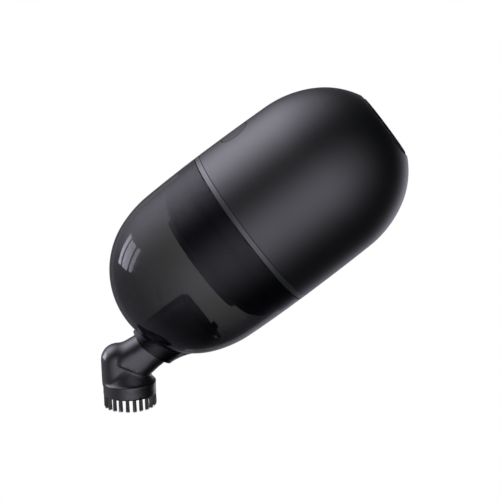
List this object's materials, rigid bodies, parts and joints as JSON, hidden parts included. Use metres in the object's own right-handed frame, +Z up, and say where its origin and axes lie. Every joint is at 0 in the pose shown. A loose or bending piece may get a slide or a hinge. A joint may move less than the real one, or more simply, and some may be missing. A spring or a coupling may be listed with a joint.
{
  "type": "desktop mini vacuum cleaner",
  "caption": "Capsule-shaped cordless desktop vacuum cleaner with a smoked clear dust cup, an off-axis snout and a bent brush nozzle; button, cup, filter, flap and nozzle move.",
  "frame": {"origin": "middle of the round rest face under the foot pads, on the floor", "axes": "+Z up along the capsule's axis, -X towards the inlet snout, the brush and the charging port, +X towards the power button"},
  "size_m": [0.0608, 0.0604, 0.137],
  "materials": {
    "body_black": "satin",
    "trim_satin": "satin grey",
    "cap_black": "fine texture",
    "foot_rubber": "matte",
    "foam": "open foam",
    "chassis_black": "matte",
    "motor_steel": "zinc plated",
    "screw_steel": "zinc plated",
    "battery_wrap": "shrink wrap",
    "board_green": "solder mask",
    "switch_black": "matte",
    "port_steel": "satin",
    "fan_black": "matte",
    "deck_black": "matte",
    "seal_rubber": "matte",
    "button_black": "satin",
    "impeller_white": "moulded",
    "shaft_steel": "ground",
    "filter_grey": "satin",
    "filter_paper": "pleated paper",
    "smoked_clear": "smoked transparent",
    "duct_black": "satin",
    "flap_rubber": "matte",
    "nozzle_black": "satin",
    "bristle_black": "nylon bristles"
  },
  "bodies": {
    "main_body": {"body_shell": "body_black", "trim_ring": "trim_satin", "base_cap": "cap_black", "foot_pads": "foot_rubber", "exhaust_filter": "foam", "chassis": "chassis_black", "motor": "motor_steel", "motor_screws": "screw_steel", "deck_screws": "screw_steel", "battery": "battery_wrap", "main_board": "board_green", "power_switch": "switch_black", "charge_board": "board_green", "charge_port": "port_steel", "fan_housing": "fan_black", "filter_deck": "deck_black", "cup_seal": "seal_rubber"},
    "power_button": {"power_button": "button_black"},
    "impeller": {"impeller": "impeller_white", "motor_shaft": "shaft_steel"},
    "filter_unit": {"filter_holder": "filter_grey", "filter_screen": "filter_grey", "filter_pleats": "filter_paper", "filter_top_cap": "filter_grey", "filter_base": "filter_grey", "filter_gasket": "seal_rubber"},
    "dust_cup": {"dust_cup": "smoked_clear", "inlet_duct": "duct_black", "valve_frame": "duct_black", "flap_pin": "shaft_steel"},
    "inlet_flap": {"inlet_flap": "flap_rubber"},
    "brush_nozzle": {"nozzle_body": "nozzle_black", "nozzle_seal": "seal_rubber", "brush_ring": "nozzle_black", "bristle_tufts": "bristle_black"}
  },
  "joints": [
    {"name": "button_press", "type": "slide", "parent": "main_body", "child": "power_button", "axis": [-1, 0, 0], "range_m": [0, 0.0008], "stiffness_N_per_m": 600, "springref_m": -0.001},
    {"name": "impeller_spin", "type": "hinge", "parent": "main_body", "child": "impeller", "pos_m": [0, 0, 0.0485], "axis": [0, 0, 1], "continuous": true},
    {"name": "filter_lift", "type": "slide", "parent": "main_body", "child": "filter_unit", "axis": [0, 0, 1], "range_m": [0, 0.009]},
    {"name": "cup_lift", "type": "slide", "parent": "main_body", "child": "dust_cup", "axis": [0, 0, 1], "range_m": [0, 0.03]},
    {"name": "flap_swing", "type": "hinge", "parent": "dust_cup", "child": "inlet_flap", "pos_m": [-0.0222, 0, 0.0902], "axis": [0, 1, 0], "range_deg": [0, 35], "stiffness_Nm_per_rad": 0.0002, "springref_deg": -28.65},
    {"name": "nozzle_pull", "type": "slide", "parent": "dust_cup", "child": "brush_nozzle", "axis": [0, 0, 1], "range_m": [0, 0.016]}
  ]
}
